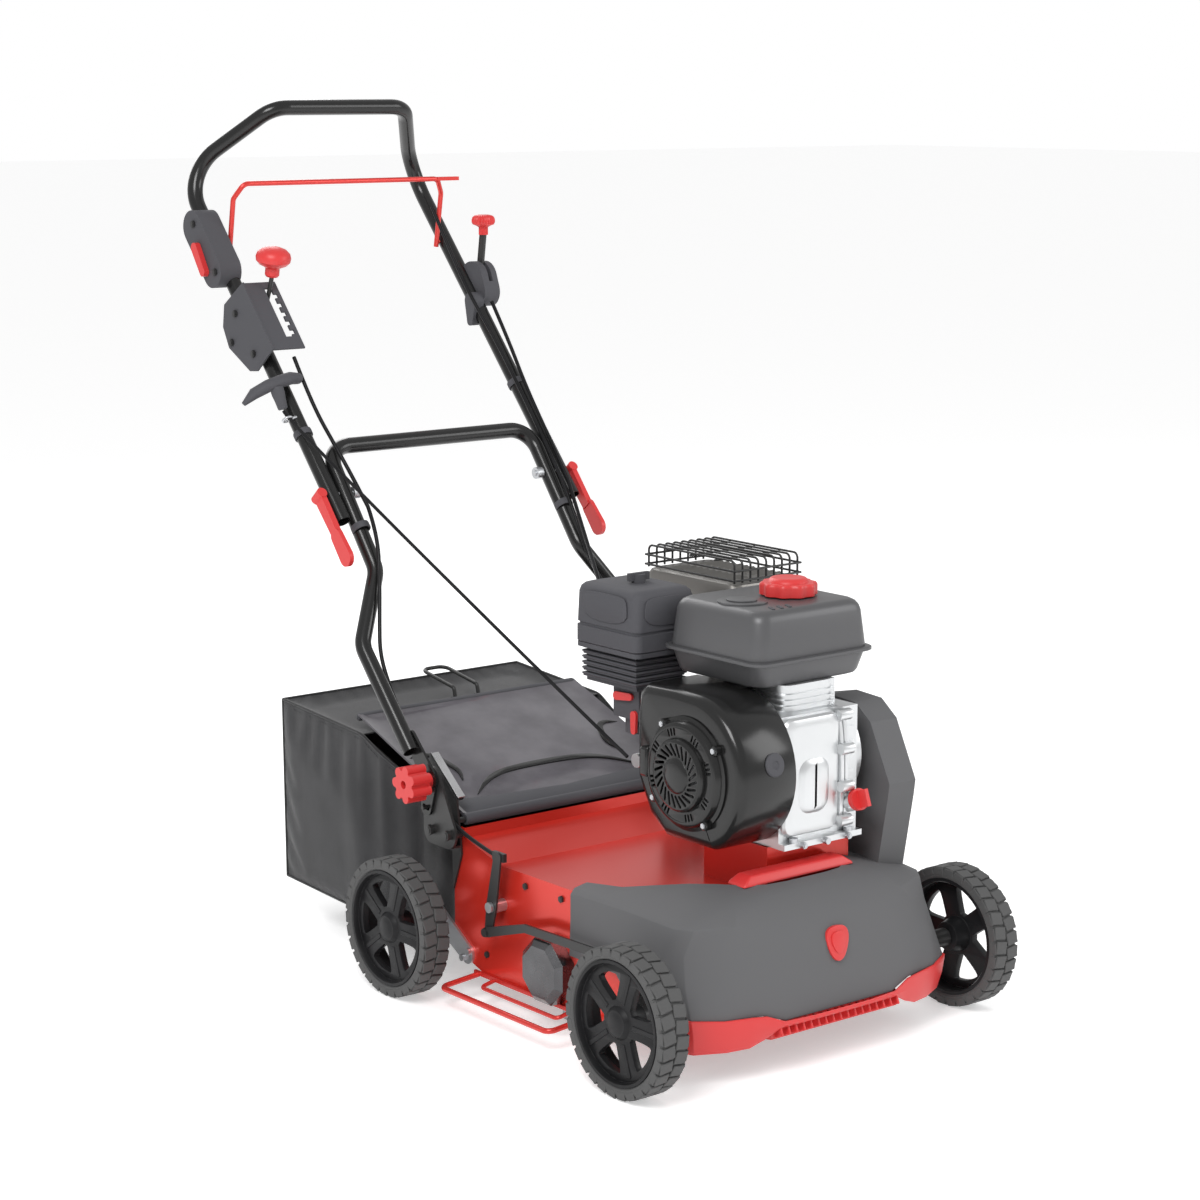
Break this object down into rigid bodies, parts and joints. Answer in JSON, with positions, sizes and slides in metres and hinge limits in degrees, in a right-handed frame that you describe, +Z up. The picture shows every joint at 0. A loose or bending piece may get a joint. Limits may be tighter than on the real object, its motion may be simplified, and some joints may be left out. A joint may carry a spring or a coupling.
{
  "type": "lawn dethatcher",
  "caption": "Walk-behind petrol lawn dethatcher with a red deck, tine reel, folding handlebar, controls, rear flap and collecting bag.",
  "frame": {"origin": "on the ground, on the centre plane, midway between the front and rear axles", "axes": "+X to the operator's left across the machine, front faces -Y, handlebar at +Y, +Z up"},
  "size_m": [0.644, 1.2824, 1.2556],
  "materials": {
    "deck_red": "gloss",
    "red_plastic": "satin",
    "red_wire": "gloss",
    "black_plastic": "matte",
    "grey_plastic": "matte",
    "gloss_black": "gloss",
    "satin_black": "satin",
    "tank_grey": "satin",
    "casting": "as cast",
    "zinc": "zinc plated",
    "tool_steel": "ground",
    "muffler_steel": "heat tinted",
    "belt_rubber": "matte",
    "cable_sheath": "satin",
    "rope_cord": "braided",
    "tyre": "matte",
    "flap_smoke": "gloss",
    "bag_fabric": "woven"
  },
  "bodies": {
    "deck": {"deck_shell": "deck_red", "engine_platform": "deck_red", "front_cowl": "grey_plastic", "bumper_trim": "red_plastic", "carry_handle": "red_plastic", "front_reflector": "red_plastic", "side_guards": "red_wire", "handle_brackets": "satin_black", "rear_axle_plates": "zinc", "deck_hardware": "zinc", "bearing_cap": "black_plastic", "drive_belt": "belt_rubber", "belt_cover": "grey_plastic", "crankcase": "casting", "cylinder_head": "casting", "blower_housing": "gloss_black", "recoil_cover": "gloss_black", "fuel_tank": "tank_grey", "air_filter_cover": "black_plastic", "carburettor": "black_plastic", "muffler": "muffler_steel", "muffler_cage": "satin_black", "starter_rope": "rope_cord", "control_cables": "cable_sheath"},
    "front_axle": {"front_axle": "satin_black"},
    "front_left_wheel": {"front_left_wheel": "tyre"},
    "front_right_wheel": {"front_right_wheel": "tyre"},
    "rear_left_wheel": {"rear_left_wheel": "tyre"},
    "rear_right_wheel": {"rear_right_wheel": "tyre"},
    "bell_crank": {"bell_crank": "satin_black"},
    "depth_link": {"depth_link": "satin_black"},
    "reel": {"reel_shaft": "tool_steel", "reel_blades": "tool_steel"},
    "crankshaft": {"crankshaft": "tool_steel", "drive_pulley": "tool_steel"},
    "tension_arm": {"tension_arm": "zinc"},
    "dipstick": {"dipstick": "red_plastic"},
    "tank_cap": {"tank_cap": "red_plastic"},
    "filter_nut": {"filter_nut": "black_plastic"},
    "choke_lever": {"choke_lever": "red_plastic"},
    "fuel_tap": {"fuel_tap": "red_plastic"},
    "lower_handle": {"lower_handle": "gloss_black"},
    "upper_handle": {"upper_handle": "gloss_black", "handle_hardware": "zinc", "switch_box": "black_plastic", "depth_gate": "black_plastic", "throttle_housing": "black_plastic"},
    "left_clamp_lever": {"left_clamp_lever": "red_plastic"},
    "right_clamp_lever": {"right_clamp_lever": "red_plastic"},
    "bail": {"bail": "red_wire"},
    "switch_rocker": {"switch_rocker": "red_plastic"},
    "depth_lever": {"depth_lever": "red_plastic"},
    "throttle_lever": {"throttle_lever": "red_plastic"},
    "starter_grip": {"starter_grip": "black_plastic"},
    "left_star_knob": {"left_star_knob": "red_plastic"},
    "right_star_knob": {"right_star_knob": "red_plastic"},
    "flap": {"flap": "flap_smoke"},
    "bag": {"bag": "bag_fabric", "bag_frame": "satin_black"},
    "bag_handle": {"bag_handle": "satin_black"}
  },
  "joints": [
    {"name": "front_axle_height", "type": "hinge", "parent": "deck", "child": "front_axle", "pos_m": [0, -0.213, 0.1], "axis": [1, 0, 0], "range_deg": [0, 22]},
    {"name": "front_left_wheel_spin", "type": "hinge", "parent": "front_axle", "child": "front_left_wheel", "pos_m": [0, -0.263, 0.1], "axis": [1, 0, 0], "continuous": true},
    {"name": "front_right_wheel_spin", "type": "hinge", "parent": "front_axle", "child": "front_right_wheel", "pos_m": [0, -0.263, 0.1], "axis": [1, 0, 0], "continuous": true},
    {"name": "rear_left_wheel_spin", "type": "hinge", "parent": "deck", "child": "rear_left_wheel", "pos_m": [0, 0.263, 0.1], "axis": [1, 0, 0], "continuous": true},
    {"name": "rear_right_wheel_spin", "type": "hinge", "parent": "deck", "child": "rear_right_wheel", "pos_m": [0, 0.263, 0.1], "axis": [1, 0, 0], "continuous": true},
    {"name": "bell_crank_turn", "type": "hinge", "parent": "deck", "child": "bell_crank", "pos_m": [0, 0.112, 0.152], "axis": [1, 0, 0], "range_deg": [-22, 0]},
    {"name": "depth_link_turn", "type": "hinge", "parent": "bell_crank", "child": "depth_link", "pos_m": [0, 0.11925, 0.1147], "axis": [1, 0, 0], "range_deg": [0, 22]},
    {"name": "reel_spin", "type": "hinge", "parent": "deck", "child": "reel", "pos_m": [0, -0.003, 0.087], "axis": [1, 0, 0], "continuous": true},
    {"name": "crankshaft_spin", "type": "hinge", "parent": "deck", "child": "crankshaft", "pos_m": [0, -0.165, 0.378], "axis": [1, 0, 0], "continuous": true},
    {"name": "tension_arm_turn", "type": "hinge", "parent": "deck", "child": "tension_arm", "pos_m": [0, -0.107, 0.326], "axis": [1, 0, 0], "range_deg": [0, 6.5]},
    {"name": "dipstick_turn", "type": "hinge", "parent": "deck", "child": "dipstick", "pos_m": [0.104, -0.238, 0.318], "axis": [0, -0.9439, 0.3304], "range_deg": [0, 360]},
    {"name": "tank_cap_turn", "type": "hinge", "parent": "deck", "child": "tank_cap", "pos_m": [0.09, -0.135, 0.6], "axis": [0, 0, 1], "range_deg": [0, 90]},
    {"name": "filter_nut_turn", "type": "hinge", "parent": "deck", "child": "filter_nut", "pos_m": [-0.025, 0.048, 0.6], "axis": [0, 0, 1], "range_deg": [0, 360]},
    {"name": "choke_lever_turn", "type": "hinge", "parent": "deck", "child": "choke_lever", "pos_m": [0, 0.052, 0.44], "axis": [1, 0, 0], "range_deg": [0, 35]},
    {"name": "fuel_tap_turn", "type": "hinge", "parent": "deck", "child": "fuel_tap", "pos_m": [0, 0.014, 0.418], "axis": [1, 0, 0], "range_deg": [-80, 0]},
    {"name": "lower_handle_tilt", "type": "hinge", "parent": "deck", "child": "lower_handle", "pos_m": [0, 0.25, 0.308], "axis": [1, 0, 0], "range_deg": [-6, 6]},
    {"name": "upper_handle_fold", "type": "hinge", "parent": "lower_handle", "child": "upper_handle", "pos_m": [0, 0.532, 0.682], "axis": [1, 0, 0], "range_deg": [0, 115], "deforming": ["control_cables", "starter_rope"]},
    {"name": "left_clamp_lever_turn", "type": "hinge", "parent": "upper_handle", "child": "left_clamp_lever", "pos_m": [0.235, 0.532, 0.682], "axis": [0, -0.7536, 0.6574], "range_deg": [0, 110]},
    {"name": "right_clamp_lever_turn", "type": "hinge", "parent": "upper_handle", "child": "right_clamp_lever", "pos_m": [-0.235, 0.532, 0.682], "axis": [0, 0.7536, -0.6574], "range_deg": [0, 110]},
    {"name": "bail_turn", "type": "hinge", "parent": "upper_handle", "child": "bail", "pos_m": [0, 0.83308, 1.02713], "axis": [-1, 0, 0], "range_deg": [0, 40], "stiffness_Nm_per_rad": 0.8, "springref_deg": -20.05, "deforming": ["drive_belt"]},
    {"name": "switch_rocker_turn", "type": "hinge", "parent": "upper_handle", "child": "switch_rocker", "pos_m": [0, 0.84549, 1.03223], "axis": [1, 0, 0], "range_deg": [0, 40]},
    {"name": "depth_lever_turn", "type": "hinge", "parent": "upper_handle", "child": "depth_lever", "pos_m": [0, 0.76574, 0.89213], "axis": [1, 0, 0], "range_deg": [0, 45]},
    {"name": "throttle_lever_turn", "type": "hinge", "parent": "upper_handle", "child": "throttle_lever", "pos_m": [0, 0.76271, 0.96776], "axis": [1, 0, 0], "range_deg": [0, 45]},
    {"name": "starter_grip_pull", "type": "slide", "parent": "upper_handle", "child": "starter_grip", "axis": [-0.2009, -0.1005, 0.9744], "range_m": [0, 0.6], "stiffness_N_per_m": 12, "springref_m": -0.5},
    {"name": "left_star_knob_turn", "type": "hinge", "parent": "lower_handle", "child": "left_star_knob", "pos_m": [0, 0.25, 0.308], "axis": [1, 0, 0], "range_deg": [0, 360]},
    {"name": "right_star_knob_turn", "type": "hinge", "parent": "lower_handle", "child": "right_star_knob", "pos_m": [0, 0.25, 0.308], "axis": [1, 0, 0], "range_deg": [0, 360]},
    {"name": "flap_turn", "type": "hinge", "parent": "deck", "child": "flap", "pos_m": [0, 0.218, 0.251], "axis": [1, 0, 0], "range_deg": [0, 58]},
    {"name": "bag_pull", "type": "slide", "parent": "deck", "child": "bag", "axis": [0, 1, 0], "range_m": [0, 0.25]},
    {"name": "bag_handle_turn", "type": "hinge", "parent": "bag", "child": "bag_handle", "pos_m": [0, 0.52, 0.3475], "axis": [1, 0, 0], "range_deg": [0, 70]}
  ],
  "couplings": [
    {"joint": "bell_crank_turn", "follows": "front_axle_height", "ratio": -1},
    {"joint": "depth_link_turn", "follows": "front_axle_height", "ratio": 1},
    {"joint": "depth_lever_turn", "follows": "front_axle_height", "ratio": 2},
    {"joint": "crankshaft_spin", "follows": "reel_spin", "ratio": 1.2545},
    {"joint": "tension_arm_turn", "follows": "bail_turn", "ratio": 0.16}
  ]
}
